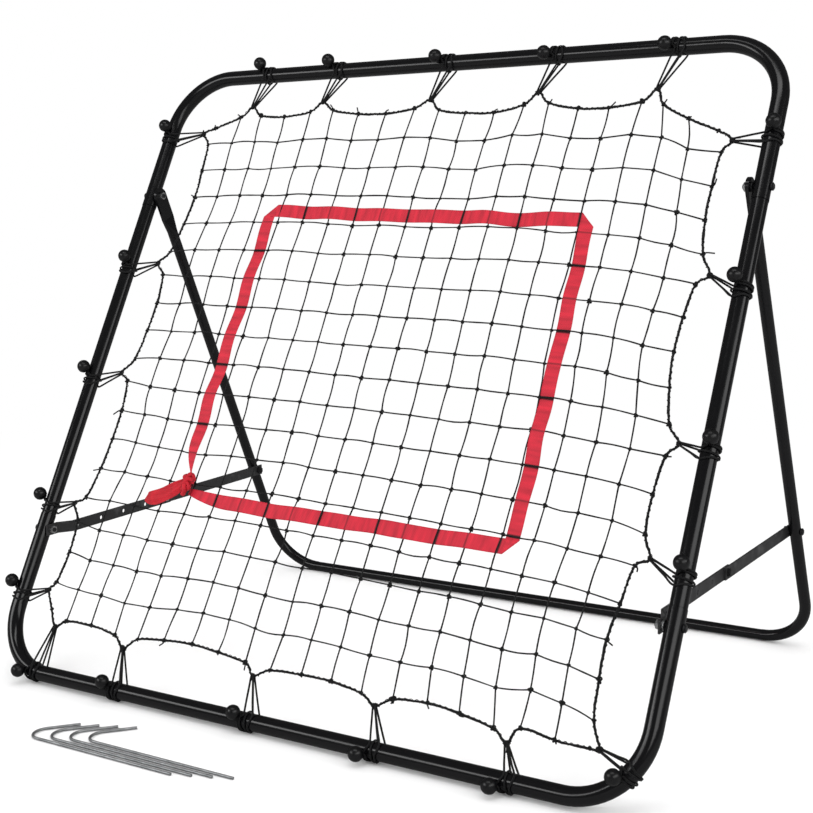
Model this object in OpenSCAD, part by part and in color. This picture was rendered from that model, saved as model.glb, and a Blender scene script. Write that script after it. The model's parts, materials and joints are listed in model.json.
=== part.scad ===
// Rebounder: a square tube frame that leans back on a folding rear support,
// with a knotted net hung inside it on ball bungees and a ribbon target on the net.
// X runs across the frame, Y away from the player, Z up. The origin is on the ground
// at the middle of the front bottom tube.

/* [Front frame] */
// Width over the outside of the two uprights
frame_w = 1000; // [800:1:1200]
// Length of the front frame along its slope, over the outside
frame_h = 972; // [900:1:1100]
// How far the front frame leans back from upright, in degrees
lean = 29.6; // [25:0.1:33]
// Outside diameter of the top and bottom tubes
tube_d = 22; // [20:0.5:25]
// Outside diameter of the plain side tubes between them
side_tube_d = 21; // [19:0.5:21.5]
// Wall thickness of every tube
wall = 1.2; // [1:0.1:1.5]
// Bend radius of the four frame corners, on the tube's centreline
corner_r = 88; // [70:1:110]
// Distance up the upright from the bottom tube to the upper socket joint
upper_seam = 726; // [690:1:730]
// Distance up the upright from the bottom tube to the lower socket joint
lower_seam = 223; // [220:1:240]

/* [Rear support] */
// Outside diameter of the legs and their bends
leg_d = 16; // [14:0.5:17]
// Outside diameter of the rear bar between the legs
rear_bar_d = 15.4; // [13.5:0.1:15.8]
// Distance up the upright from the bottom tube to the leg pivot
pivot_up = 745; // [735:1:755]
// Leg length from the pivot to the rear bar's centreline
leg_len = 710; // [695:1:730]
// Bend radius of the two rear corners, on the tube's centreline
rear_corner_r = 72; // [50:1:90]
// Thickness of the flattened top of each leg
flat_t = 4.4; // [3.6:0.1:5]
// Width of the flattened top of each leg
flat_w = 24; // [20:0.5:25]

/* [Braces] */
// Width of the flat brace bars
bar_w = 16; // [14:0.5:20]
// Thickness of the flat brace bars
bar_t = 2.4; // [2:0.1:2.5]
// Distance up the upright from the bottom tube to the front brace bolt
brace_up = 202; // [196:1:204]
// Distance from the front brace bolt to the first free adjusting hole
first_hole = 40; // [38:1:44]
// Spacing of the adjusting holes in the front brace bar
hole_pitch = 48; // [44:0.5:50]
// Number of free adjusting holes; the lap bolt is in the next one
hole_count = 4; // [2:1:4]

/* [Fasteners] */
// Bolt shank diameter
bolt_d = 6; // [5:1:6]
// Radial running clearance of a bolt in its hole
bolt_clear = 0.08; // [0.02:0.01:0.1]
// Bolt head diameter
head_d = 10; // [9:0.5:12]
// Bolt head height
head_h = 3; // [2.5:0.5:5]
// Nut size across its flats
nut_af = 10; // [9:0.5:11]
// Nut thickness
nut_h = 4.8; // [4:0.2:5.2]

/* [Net and target] */
// Thickness of the net's strands
net_t = 2; // [1:0.5:3]
// Side of one square of the net
mesh = 44.5; // [40:0.5:50]
// Number of squares across the net
mesh_wide = 19; // [15:1:21]
// Number of squares up the net
mesh_high = 18; // [15:1:19]
// Sag of the net's edge between two neighbouring hooks, as a share of their distance
edge_sag = 0.1; // [0.05:0.01:0.15]
// Width of the ribbon that marks the target
ribbon_w = 21; // [15:1:30]
// Thickness of the ribbon
ribbon_t = 0.6; // [0.4:0.1:1]

/* [Ball bungees] */
// Diameter of the ball on each bungee
ball_d = 19; // [16:1:19]
// Diameter of the elastic cord
cord_d = 2.6; // [2:0.1:3]
// Distance along the tube from a ball to the nearer ring of its cord
near_ring = 9; // [8.8:0.1:10]
// Distance along the tube from a ball to the farther ring of its cord
far_ring = 20; // [14:0.5:24]

/* [Ground pegs] */
// Diameter of the peg wire
peg_d = 3.5; // [3:0.1:5]
// Length of the straight shank
peg_len = 222; // [150:1:260]
// Bend radius of the hook
hook_r = 18; // [15:1:25]
// Angle the hook turns through
hook_turn = 132; // [90:1:170]
// Length of the straight tail after the hook
tail_len = 42; // [20:1:60]

/* [Hidden] */
$fn = 48;

tube_r = tube_d / 2;
bore_r = tube_r - wall;
socket_gap = 0.1;                       // radial play of a spigot in its socket
spigot_r = bore_r - socket_gap;
spigot_len = 50;
part_gap = 0.1;                         // gap between two stacked flat parts
seam_gap = 0.7;                         // groove left where two frame tubes meet
half_span = frame_w / 2 - tube_r;       // upright centreline from the middle
rise = frame_h - tube_d;                // bottom to top centreline, along the slope
cord_r = cord_d / 2;
wrap_gap = 0.05;                        // gap between a cord and the tube it wraps
wrap_r = tube_r + wrap_gap + cord_r;    // centreline of a cord round the tube
bend_slack = 0.8;                       // a cord's rings are this much wider round a bend
foot_z = wrap_r + cord_r;               // the bottom tube rests on its cords
tip_r = cord_r + 0.2;                   // the end of a loop, where it holds the net
ring_shifts = [near_ring, far_ring];
tip_shifts = [-tip_r - part_gap, tip_r + part_gap];

leg_r = leg_d / 2;
flat_len = 38;                          // flattened length below the pivot
flat_blend = 22;                        // length over which it turns round again
washer_t = 2.4;
leg_x = half_span - tube_r - washer_t - 2 * part_gap - flat_t / 2;
pivot = [0, sin(lean) * pivot_up, foot_z + cos(lean) * pivot_up];
leg_lean = acos((pivot.z - leg_r) / leg_len);
rear_y = pivot.y + sin(leg_lean) * leg_len;
rear_bar_r = rear_bar_d / 2;
rear_spigot_r = leg_r - wall - 8 * socket_gap; // loose enough for the curve of the bend
rear_spigot_len = 10;                   // it reaches into the first part of the bend

brace_a = [0, sin(lean) * brace_up, foot_z + cos(lean) * brace_up];
brace_down = (pivot.z - brace_a.z) / cos(leg_lean); // along the leg, so that the bars lie level
brace_b = pivot + brace_down * [0, sin(leg_lean), -cos(leg_lean)];
brace_len = brace_b.y - brace_a.y;
lap_y = first_hole + hole_count * hole_pitch;
bar_end = 9;                            // bar beyond its last hole
step_start = 12;                        // where the front bar starts to step inwards
step_end = 30;
bolted_x = leg_x + flat_t / 2;          // outer face of a bar bolted on the upright
rear_bar_x = leg_x - leg_r - part_gap;  // outer face of the rear brace bar
lapped_x = rear_bar_x - bar_t - part_gap; // outer face of the front bar where they lap

bolt_r = bolt_d / 2;
hole_r = bolt_r + bolt_clear;
head_gap = 0.3;                         // a bolt head starts this far off the round tube
head_rim = 0.6 * head_h;                // the wide lower part of a bolt head
head_top_r = 0.36 * head_d;             // the narrower button on top of it
washer_r = 0.62 * head_d;
nut_r = nut_af / 2 / cos(30);           // over the nut's corners

net_half = net_t / 2;
ribbon_gap = 0.3;                       // gap between the strands and the ribbon
ribbon_back = -net_half - ribbon_gap;
knot_r = 11;
knot_h = 12;
knot_gap = 0.2;                         // gap between the ribbon and its knot
tail_reach = 76;                        // the ribbon's loose end, from the knot's middle
tail_turn = 204;                        // its direction, from +X
// Hook points, clockwise from the top left: where each ball sits along its tube, where
// its cord holds the net's edge, and how far the ball sits round the tube from straight
// ahead towards the outside. Each is [ball x, ball up, net x, net up, ball turn], in the
// plane of the frame, and "up" is measured from the bottom tube's centreline.
top_hooks = [[-339, rise, -342, 897, 36], [-207, rise, -210, 899, 20],
    [-18, rise, -20, 893, 0], [155, rise, 151, 895, -18], [329, rise, 325, 891, -16]];
right_hooks = [[half_span, 823, 440, 810, 14], [half_span, 619, 447, 627, -12],
    [half_span, 418, 452, 413, 16], [half_span, 270, 446, 274, 4]];
bottom_hooks = [[320, 0, 321, 40, 28], [140, 0, 138, 50, 26], [-50, 0, -50, 55, -16],
    [-275, 0, -275, 55, -18]];
left_hooks = [[-half_span, 117, -442, 115, 30], [-half_span, 249, -446, 245, 44],
    [-half_span, 449, -437, 450, 16], [-half_span, 632, -434, 630, -10],
    [-half_span, 858, -425, 853, 2]];
// The two lower corner bungees sit on the bends, each ball at this angle round its bend
right_bend_turn = 46;
left_bend_turn = 18;
right_bend_net = [433, 55];
left_bend_net = [-408, 65];
right_bend_ball = -6;
left_bend_ball = 24;
net_points = concat(
    [for (h = top_hooks) net_point(h)],
    [for (h = right_hooks) net_point(h)],
    [right_bend_net],
    [for (h = bottom_hooks) net_point(h)],
    [left_bend_net],
    [for (h = left_hooks) net_point(h)]);
net_centre = [0, rise / 2 - 4];
edge_share = 0.99;                      // the edge cord's inner outline against its outer
net_share = 0.9895;                     // the strands end just inside the edge cord

// Target corners on the ribbon's centreline, clockwise from the top left
target = [[-249, 719], [266, 703], [265, 268], [-264, 277]];
knot_at = [-247, 296];                  // the ribbon's ends are tied just above its corner

ball_gap = 0.5;                         // gap between a ball and the tube
ball_out = tube_r + ball_d / 2 + ball_gap;

peg_r = peg_d / 2;
peg_place = [-256, -150];               // start of the first peg's hook, on the ground
peg_step = [24, 9];                     // from one peg to the next

black = [0.07, 0.07, 0.075];
zinc = [0.72, 0.73, 0.75];
red = [0.85, 0.16, 0.25];

function net_point(hook) = [hook[2], hook[3]];
function mid(a, b) = (a + b) / 2;
function unit(v) = v / norm(v);
// One scallop of the net's edge: a hook point, then the sagging middle
function scallop(a, b) =
    let (m = mid(a, b), inward = unit(net_centre - m))
    [a, m + inward * edge_sag * norm(b - a)];
function net_outline(share) =
    let (count = len(net_points))
    [for (i = [0:count - 1])
        for (p = scallop(net_points[i], net_points[(i + 1) % count]))
            net_centre + (p - net_centre) * share];
// Centreline point of a lower bend, turned from the end of the bottom tube
function bend_point(side, turn) =
    [side * (half_span - corner_r + corner_r * sin(turn)), corner_r - corner_r * cos(turn)];

// ---------- frames of reference ----------

// The front frame's plane: X across, Z up the slope, -Y towards the player
module in_frame() {
    translate([0, 0, foot_z]) rotate([-lean, 0, 0]) children();
}
// The legs: -Z runs down the leg from the pivot
module in_leg() {
    translate(pivot) rotate([leg_lean, 0, 0]) children();
}
// The braces: Y runs from the front brace bolt to the rear one
module in_brace() {
    translate(brace_a) children();
}
module both_sides() {
    children();
    mirror([1, 0, 0]) children();
}
// A cylinder along X from x = a to x = b
module x_rod(a, b, r) {
    translate([a, 0, 0]) rotate([0, 90, 0]) cylinder(h = b - a, r = r);
}

// ---------- front frame ----------

module bend(r, bend_r) {
    rotate_extrude(angle = 90) translate([bend_r, 0]) circle(r);
}
// A U of solid rod: a bar across X with both ends bent up, to the height ends_up
module u_rod(r, ends_up) {
    flat = half_span - corner_r;
    x_rod(-flat, flat, r);
    both_sides() {
        translate([flat, 0, corner_r]) rotate([90, 90, 0]) bend(r, corner_r);
        translate([half_span, 0, corner_r]) cylinder(h = ends_up - corner_r, r = r);
    }
}
module u_tube(ends_up, hole_up) {
    difference() {
        u_rod(tube_r, ends_up);
        // the bore runs a little past the open ends
        u_rod(bore_r, ends_up + 1);
        translate([0, 0, hole_up]) both_sides() x_rod(half_span - 2 * tube_r, frame_w, hole_r);
    }
}
module bottom_tube() {
    color(black) in_frame() u_tube(lower_seam, brace_up);
}
module top_tube() {
    color(black) in_frame() translate([0, 0, rise]) mirror([0, 0, 1])
        u_tube(rise - upper_seam, rise - pivot_up);
}
module upright() {
    neck_len = upper_seam - lower_seam + 2 * spigot_len;
    difference() {
        union() {
            translate([half_span, 0, lower_seam + seam_gap])
                cylinder(h = upper_seam - lower_seam - 2 * seam_gap, r = side_tube_d / 2);
            translate([half_span, 0, lower_seam - spigot_len]) cylinder(h = neck_len, r = spigot_r);
        }
        translate([half_span, 0, 0]) cylinder(h = rise, r = spigot_r - wall);
        translate([0, 0, brace_up]) x_rod(half_span - 2 * tube_r, frame_w, hole_r);
        translate([0, 0, pivot_up]) x_rod(half_span - 2 * tube_r, frame_w, hole_r);
    }
}
module right_upright() {
    color(black) in_frame() upright();
}
module left_upright() {
    color(black) in_frame() mirror([1, 0, 0]) upright();
}

// ---------- rear support ----------

// Solid rod down one leg, round its bend and a little way along the rear bar
module leg_rod(r, top) {
    translate([leg_x, 0, rear_corner_r - leg_len])
        cylinder(h = leg_len - rear_corner_r - top, r = r);
    translate([leg_x - rear_corner_r, 0, rear_corner_r - leg_len]) rotate([90, 90, 0])
        bend(r, rear_corner_r);
}
module flattened_top() {
    translate([leg_x - flat_t / 2, 0, 0]) rotate([0, 90, 0]) cylinder(h = flat_t, r = flat_w / 2);
    translate([leg_x - flat_t / 2, -flat_w / 2, -flat_len]) cube([flat_t, flat_w, flat_len]);
    // the flat turns into round tube over this blend
    hull() {
        translate([leg_x - flat_t / 2, -flat_w / 2, -flat_len]) cube([flat_t, flat_w, 0.5]);
        translate([leg_x, 0, -flat_len - flat_blend - 0.5]) cylinder(h = 0.5, r = leg_r, $fn = 32);
    }
}
module leg() {
    difference() {
        union() {
            leg_rod(leg_r, flat_len + flat_blend);
            flattened_top();
        }
        leg_rod(leg_r - wall, flat_len + flat_blend + wall);
        // the bore of the bend's open end
        translate([0, 0, -leg_len])
            x_rod(leg_x - rear_corner_r - 1, leg_x - rear_corner_r + 0.01, leg_r - wall);
        x_rod(leg_x - leg_d, leg_x + leg_d, hole_r);
        translate([0, 0, -brace_down]) x_rod(leg_x - leg_d, leg_x + leg_d, hole_r);
    }
}
module right_leg() {
    color(black) in_leg() leg();
}
module left_leg() {
    color(black) in_leg() mirror([1, 0, 0]) leg();
}
module rear_bar() {
    seam_x = leg_x - rear_corner_r;
    color(black) in_leg() translate([0, 0, -leg_len]) difference() {
        union() {
            x_rod(part_gap - seam_x, seam_x - part_gap, rear_bar_r);
            x_rod(-seam_x - rear_spigot_len, seam_x + rear_spigot_len, rear_spigot_r);
        }
        x_rod(-leg_x, leg_x, rear_spigot_r - wall);
    }
}

// ---------- braces ----------

// A strip seen from above, as a closed outline of [x of its outer face, y] points
module strip(outer) {
    count = len(outer);
    inner = [for (i = [count - 1:-1:0]) outer[i] - [bar_t, 0]];
    translate([0, 0, -bar_w / 2]) linear_extrude(bar_w) polygon(concat(outer, inner));
}
module front_brace() {
    difference() {
        strip([[bolted_x, -bar_end], [bolted_x, step_start],
            [lapped_x, step_end], [lapped_x, lap_y + bar_end]]);
        x_rod(lapped_x - leg_d, frame_w / 2, hole_r);
        for (i = [0:hole_count])
            translate([0, first_hole + i * hole_pitch, 0])
                x_rod(lapped_x - leg_d, frame_w / 2, hole_r);
    }
}
module rear_brace() {
    difference() {
        strip([[rear_bar_x, lap_y - bar_end], [rear_bar_x, brace_len + bar_end]]);
        for (y = [lap_y, brace_len])
            translate([0, y, 0]) x_rod(rear_bar_x - leg_d, frame_w / 2, hole_r);
    }
}
module front_brace_right() {
    color(black) in_brace() front_brace();
}
module front_brace_left() {
    color(black) in_brace() mirror([1, 0, 0]) front_brace();
}
module rear_brace_right() {
    color(black) in_brace() rear_brace();
}
module rear_brace_left() {
    color(black) in_brace() mirror([1, 0, 0]) rear_brace();
}

// ---------- fasteners ----------

// A bolt along X: its head outside head_x, its shank down to tip_x
module bolt(head_x, tip_x) {
    seat = head_x + head_gap;
    x_rod(tip_x, seat + head_rim / 2, bolt_r);
    x_rod(seat, seat + head_rim, head_d / 2);
    x_rod(seat + head_rim, seat + head_h, head_top_r);
}
// A hexagon nut along X, its outer face at x = face_x
module nut(face_x) {
    translate([face_x - nut_h, 0, 0]) rotate([0, 90, 0]) difference() {
        cylinder(h = nut_h, r = nut_r, $fn = 6);
        translate([0, 0, -1]) cylinder(h = nut_h + 2, r = hole_r);
    }
}
module spacer(outer_x, length) {
    difference() {
        x_rod(outer_x - length, outer_x, washer_r);
        x_rod(outer_x - length - 1, outer_x + 1, hole_r);
    }
}
pivot_nut_x = leg_x - flat_t / 2 - part_gap;
brace_nut_x = bolted_x - bar_t - part_gap;
leg_nut_x = rear_bar_x - bar_t - part_gap;
tip_past = 1.5;                         // shank past its nut

module pivot_bolts() {
    color(zinc) translate(pivot) both_sides() bolt(frame_w / 2, pivot_nut_x - nut_h - tip_past);
}
module pivot_washers() {
    color(zinc) translate(pivot) both_sides() spacer(half_span - tube_r - part_gap, washer_t);
}
module pivot_nuts() {
    color(zinc) translate(pivot) both_sides() nut(pivot_nut_x);
}
module brace_bolts() {
    color(zinc) translate(brace_a) both_sides() bolt(frame_w / 2, brace_nut_x - nut_h - tip_past);
}
module brace_spacers() {
    color(zinc) translate(brace_a) both_sides() spacer(half_span - tube_r - part_gap, washer_t);
}
module brace_nuts() {
    color(zinc) translate(brace_a) both_sides() nut(brace_nut_x);
}
module leg_bolts() {
    color(zinc) translate(brace_b) both_sides() bolt(leg_x + leg_r, leg_nut_x - nut_h - tip_past);
}
module leg_nuts() {
    color(zinc) translate(brace_b) both_sides() nut(leg_nut_x);
}
// The lap bolt is taken out to fold the frame, so its head half rides on the front bar
// and its nut half on the rear bar, and the two meet between the bars.
module lap_screw() {
    seat = lapped_x - bar_t - part_gap;
    translate([0, lap_y, 0]) {
        x_rod(seat - head_rim / 2, lapped_x, bolt_r);
        x_rod(seat - head_rim, seat, head_d / 2);
    }
}
module lap_nut() {
    seat = rear_bar_x + part_gap;
    thin_nut = 0.6 * nut_h;
    translate([0, lap_y, 0]) {
        x_rod(rear_bar_x - bar_t, seat + thin_nut / 2, bolt_r);
        translate([seat, 0, 0]) rotate([0, 90, 0]) cylinder(h = thin_nut, r = nut_r, $fn = 6);
        // the nut's collar
        x_rod(seat, seat + 0.8 * nut_h, 0.4 * nut_af);
    }
}
module lap_screw_right() {
    color(zinc) in_brace() lap_screw();
}
module lap_screw_left() {
    color(zinc) in_brace() mirror([1, 0, 0]) lap_screw();
}
module lap_nut_right() {
    color(zinc) in_brace() lap_nut();
}
module lap_nut_left() {
    color(zinc) in_brace() mirror([1, 0, 0]) lap_nut();
}

// ---------- net and target ----------

// A flat outline in the frame's plane, from y = back - thickness to y = back
module sheet(back, thickness) {
    translate([0, back, 0]) rotate([90, 0, 0]) linear_extrude(thickness) children();
}
module net_strands() {
    for (i = [1:mesh_wide - 1])
        translate([(i - mesh_wide / 2) * mesh - net_half, 0]) square([net_t, rise]);
    for (i = [1:mesh_high - 1])
        translate([-half_span, net_centre.y + (i - mesh_high / 2) * mesh - net_half])
            square([2 * half_span, net_t]);
}
module net() {
    color(black) in_frame() sheet(net_half, net_t) intersection() {
        net_strands();
        polygon(net_outline(net_share));
    }
}
module net_edge_cord() {
    color(black) in_frame() sheet(net_half, net_t) difference() {
        polygon(net_outline(1));
        polygon(net_outline(edge_share));
    }
}
module strip_between(a, b) {
    d = b - a;
    translate(a) rotate(atan2(d.y, d.x))
        translate([-ribbon_w / 2, -ribbon_w / 2]) square([norm(d) + ribbon_w, ribbon_w]);
}
module target_ribbon() {
    color(red) in_frame() sheet(ribbon_back, ribbon_t)
        for (i = [0:3]) strip_between(target[i], target[(i + 1) % 4]);
}
module target_knot() {
    knot_back = ribbon_back - ribbon_t - knot_gap;
    color(red) in_frame() {
        translate([knot_at.x, knot_back, knot_at.y]) rotate([90, 0, 0])
            cylinder(h = knot_h, r = knot_r);
        // the flat tail hangs to the left of the knot
        sheet(knot_back, 2 * ribbon_t) translate(knot_at) rotate(tail_turn)
            translate([0, -ribbon_w / 2]) square([tail_reach, ribbon_w]);
    }
}

// ---------- ball bungees ----------

// Turns a child drawn at the origin, with the tube along X and the net towards -Z,
// onto the tube at a point of the frame's plane
module on_tube(x, up, turn) {
    translate([x, 0, up]) rotate([0, -turn, 0]) children();
}
// One loop of a bungee's cord: a ring round the tube with a front and a back strand that
// meet just short of the net's edge. net_x and net_up are measured from the ring, along
// the tube and across it; tip_x moves the tip aside, to leave room for the other loop;
// slack widens the ring, to go round a bend.
module loop(net_x, net_up, tip_x, slack) {
    ring_r = wrap_r + slack;
    strand_y = ring_r + cord_r;
    strand_r = cord_r - 0.1;  // stretched cord is thinner
    length = norm([net_x, net_up]);
    share = (length - cord_d - 1) / length;
    tip = [net_x * share + tip_x, 0, net_up * share];
    rotate([0, 90, 0]) rotate_extrude($fn = 32) translate([ring_r, 0]) circle(cord_r, $fn = 16);
    for (side = [-1, 1]) {
        start = [0, side * strand_y, 0];
        d = tip - start;
        translate(start) rotate([0, acos(d.z / norm(d)), atan2(d.y, d.x)])
            cylinder(h = norm(d), r = strand_r, $fn = 16);
    }
    translate(tip) sphere(tip_r, $fn = 16);
}
// A direction in the frame's plane, seen from a tube that runs at this angle
function seen_from(v, turn) =
    [v.x * cos(turn) + v.y * sin(turn), -v.x * sin(turn) + v.y * cos(turn)];
// Both loops of each bungee on one straight tube. The cord is wound beside the ball, a
// way along the tube given by the unit vector beside.
module cords(hooks, turn, beside) {
    for (h = hooks)
        for (loop_no = [0, 1]) {
            ring = [h[0], h[1]] + beside * ring_shifts[loop_no];
            net_at = seen_from([h[2], h[3]] - ring, turn);
            tip_x = seen_from(beside, turn).x * tip_shifts[loop_no];
            on_tube(ring.x, ring.y, turn) loop(net_at.x, net_at.y, tip_x, 0);
        }
}
// The same on a lower bend, side 1 for the right and -1 for the left. The loops lie
// towards +X from the ball.
module bend_cords(side, ball_turn, net_point) {
    for (loop_no = [0, 1]) {
        turn = ball_turn + side * ring_shifts[loop_no] / corner_r * 180 / PI;
        ring = bend_point(side, turn);
        net_at = seen_from(net_point - ring, side * turn);
        on_tube(ring.x, ring.y, side * turn)
            loop(net_at.x, net_at.y, tip_shifts[loop_no], bend_slack);
    }
}
module balls(hooks, turn, slack = 0) {
    for (h = hooks)
        on_tube(h[0], h[1], turn) rotate([h[4], 0, 0]) translate([0, -ball_out - slack, 0])
            sphere(ball_d / 2);
}
right_bend_hook = concat(bend_point(1, right_bend_turn), right_bend_net, right_bend_ball);
left_bend_hook = concat(bend_point(-1, left_bend_turn), left_bend_net, left_bend_ball);

module cords_top() {
    color(black) in_frame() cords(top_hooks, 180, [1, 0]);
}
module cords_right() {
    color(black) in_frame() cords(right_hooks, 90, [0, -1]);
}
module cords_bottom() {
    color(black) in_frame() {
        cords(bottom_hooks, 0, [1, 0]);
        bend_cords(1, right_bend_turn, right_bend_net);
        bend_cords(-1, left_bend_turn, left_bend_net);
    }
}
module cords_left() {
    color(black) in_frame() cords(left_hooks, -90, [0, -1]);
}
module balls_top() {
    color(black) in_frame() balls(top_hooks, 180);
}
module balls_right() {
    color(black) in_frame() balls(right_hooks, 90);
}
module balls_bottom() {
    color(black) in_frame() {
        balls(bottom_hooks, 0);
        balls([right_bend_hook], right_bend_turn, bend_slack);
        balls([left_bend_hook], -left_bend_turn, bend_slack);
    }
}
module balls_left() {
    color(black) in_frame() balls(left_hooks, -90);
}

// ---------- ground pegs ----------

// A peg lying on the ground: the shank along -X, then the hook and its tail. The wire is
// a hair thinner round the bend, and both straight lengths run a little way into it.
module peg(index) {
    place = peg_place + index * peg_step;
    bend_r = peg_r - 0.05;
    overlap = 0.5;
    color(zinc) translate([place.x, place.y, peg_r]) {
        x_rod(-overlap, peg_len, peg_r, $fn = 24);
        translate([0, hook_r, 0]) rotate([0, 0, 270 - hook_turn]) {
            rotate_extrude(angle = hook_turn) translate([hook_r, 0]) circle(bend_r, $fn = 24);
            translate([hook_r, overlap, 0]) rotate([90, 0, 0])
                cylinder(h = tail_len + overlap, r = peg_r, $fn = 24);
        }
    }
}
module peg_1() {
    peg(0);
}
module peg_2() {
    peg(1);
}
module peg_3() {
    peg(2);
}
module peg_4() {
    peg(3);
}

top_tube();
bottom_tube();
left_upright();
right_upright();
pivot_bolts();
pivot_washers();
pivot_nuts();
brace_bolts();
brace_spacers();
brace_nuts();
left_leg();
right_leg();
rear_bar();
leg_bolts();
leg_nuts();
front_brace_left();
front_brace_right();
rear_brace_left();
rear_brace_right();
lap_screw_left();
lap_screw_right();
lap_nut_left();
lap_nut_right();
net();
net_edge_cord();
target_ribbon();
target_knot();
cords_top();
cords_right();
cords_bottom();
cords_left();
balls_top();
balls_right();
balls_bottom();
balls_left();
peg_1();
peg_2();
peg_3();
peg_4();
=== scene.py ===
"""Looks for the pitch back rebounder: a knotted net with a woven ribbon target, hung on
ball bungees inside a powder coated tube frame. Everything is measured in metres in the
CAD's own frame: X across, Y away from the player, Z up."""

import json
import math

import bpy
import numpy as np
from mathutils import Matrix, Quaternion, Vector


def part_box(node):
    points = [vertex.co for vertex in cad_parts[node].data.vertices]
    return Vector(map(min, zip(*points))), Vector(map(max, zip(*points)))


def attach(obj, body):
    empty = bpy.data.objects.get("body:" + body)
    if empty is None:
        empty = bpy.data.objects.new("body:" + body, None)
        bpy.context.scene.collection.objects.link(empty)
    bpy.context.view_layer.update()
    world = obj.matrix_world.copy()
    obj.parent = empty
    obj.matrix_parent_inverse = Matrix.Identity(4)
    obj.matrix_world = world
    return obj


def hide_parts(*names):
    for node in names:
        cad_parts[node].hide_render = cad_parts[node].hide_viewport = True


MM = 0.001

# Frame
CORNER_RADIUS = 88 * MM  # of the bends' centreline
SIDES = ("top", "right", "bottom", "left")

# Net, counted and measured
MESHES_WIDE = 19
MESHES_HIGH = 18
MESH_SIDE = 44.5 * MM
TWINE_RADIUS = 1.0 * MM
TWINE_BOW = 0.7 * MM  # how far a strand strays from straight between two knots
KNOT_SIZE = 2.6 * MM
EDGE_RADIUS = 1.55 * MM
EDGE_KNOT_SIZE = 3.0 * MM
HOOK_KNOT_SIZE = 3.4 * MM
WHIP_RADIUS = 0.5 * MM
WHIP_PITCH = 8 * MM
LOOSE_ENDS = 0.4  # the share of the edge's knots that leave a loose end
# Where each bungee holds the net's edge, in squares clockwise from the top left corner
HOOKS_AT = (
    1.5, 4.5, 8.5, 12.5, 16.5, 19.6, 23.6, 28.6, 31.6, 36.7,
    39.5, 43.5, 47.5, 52.5, 55.4, 56.7, 59.6, 64.4, 68.5, 73.5,
)
NET_GRAVITY = 0.0008  # pull on a knot against the stiffness of a strand
NET_SLACK = 0.965  # unstretched strand against its square, so the net hangs tight
EDGE_SLACK = 0.985
EDGE_STIFFNESS = 2.0
DIAGONAL_STIFFNESS = 0.05  # keeps the squares from folding flat
STRAND_SPREAD = 0.022  # how unevenly the net is tied
PUSH_SHARE = 0.35  # a strand resists being pushed this much against being pulled
RELAX_STEPS = 1500
RELAX_PACE = 0.25
RELAX_DAMPING = 0.94

# Ribbon
RIBBON_WIDTH = 20 * MM
RIBBON_THICK = 0.45 * MM
WEAVE_HEIGHT = 1.8 * MM
COLUMN_LIFT = 0.4 * MM  # the ribbon's middle in front of the columns it crosses
ROW_LIFT = 1.2 * MM  # rows of twine lie this far in front of the columns
OVERLAP_LIFT = 0.72 * MM  # the two bands across lie on the two upright ones
LEAST_WIDTH = 0.12
TAPER = 80 * MM  # the length over which a band is drawn in to the knot
KNOT_HEIGHT = 3 * MM
THREADS_PER_METRE = 700

# Bungees
CORD_RADIUS = 1.3 * MM
WRAP_RADIUS_GAP = 0.1 * MM
WRAP_EDGE = 1.5 * MM  # the windings start and end this far to the side
CORD_STEP = 0.42  # radians between the points of a winding
IN_OVER_TUBE = math.radians(-35)  # where the cord comes over the tube from the net
HOOK_REACH = 3.5 * MM  # from the middle of a loop's bend to the net's edge
BALL_RADIUS = 9.5 * MM
BALL_SEAM = 0.018  # how far the ball's seam stands out, against its radius

# Camera, as solved from the photograph's perspective
CAMERA_AT = (1.0767, -1.3405, 0.6923)
CAMERA_AZIMUTH = 32.87
CAMERA_ELEVATION = 9.29
CAMERA_ROLL = -1.46
CAMERA_LENS = 64.1

# The floor fades into the white of the room between these distances from the frame
FLOOR_NEAR = 0.9
FLOOR_FAR = 2.4
FLOOR_HALF = 30.0
FLOOR_WHITE = (0.93, 0.93, 0.93)
FLOOR_GAP = 0.5 * MM
FLOOR_DIMMED = 0.75  # the share of the floor's brightness that reflections leave out

# Lights: name, azimuth and elevation from the middle, distance, size and power
LIGHTS_AIM = (0, 0.25, 0.4)
LIGHTS = (
    ("left_softbox", -35, 21, 3.2, (2.2, 0.8), 22),
    ("right_softbox", 69, 20, 3.0, (3.6, 1.1), 27),
    ("top_strip", 20, 68, 3.0, (2.4, 0.6), 14),
)
ROOM_BRIGHT = 0.98
ROOM_DIMMED = 0.88  # taken off the room's brightness in reflections
ROOM_SHOWN = 0.02  # added to the room's brightness for the camera

SEED = 7

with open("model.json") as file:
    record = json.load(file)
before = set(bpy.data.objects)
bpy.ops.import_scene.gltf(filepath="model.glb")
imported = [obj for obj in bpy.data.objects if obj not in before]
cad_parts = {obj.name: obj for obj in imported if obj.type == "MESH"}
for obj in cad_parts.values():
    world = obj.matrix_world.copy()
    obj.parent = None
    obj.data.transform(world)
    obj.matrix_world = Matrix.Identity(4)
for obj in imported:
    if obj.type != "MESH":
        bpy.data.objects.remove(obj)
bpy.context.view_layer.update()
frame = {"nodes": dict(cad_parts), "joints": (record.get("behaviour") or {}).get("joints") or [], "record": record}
rng = np.random.default_rng(SEED)


# ---------- the front frame's plane ----------


def box_centre(node):
    low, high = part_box(node)
    return (low + high) / 2


def joint_place(name):
    for joint in frame["joints"]:
        if joint["name"] == name:
            return np.array(joint["pos_m"])
    raise ValueError("no joint named " + name)


def unit(vector):
    return vector / np.linalg.norm(vector)


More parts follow.
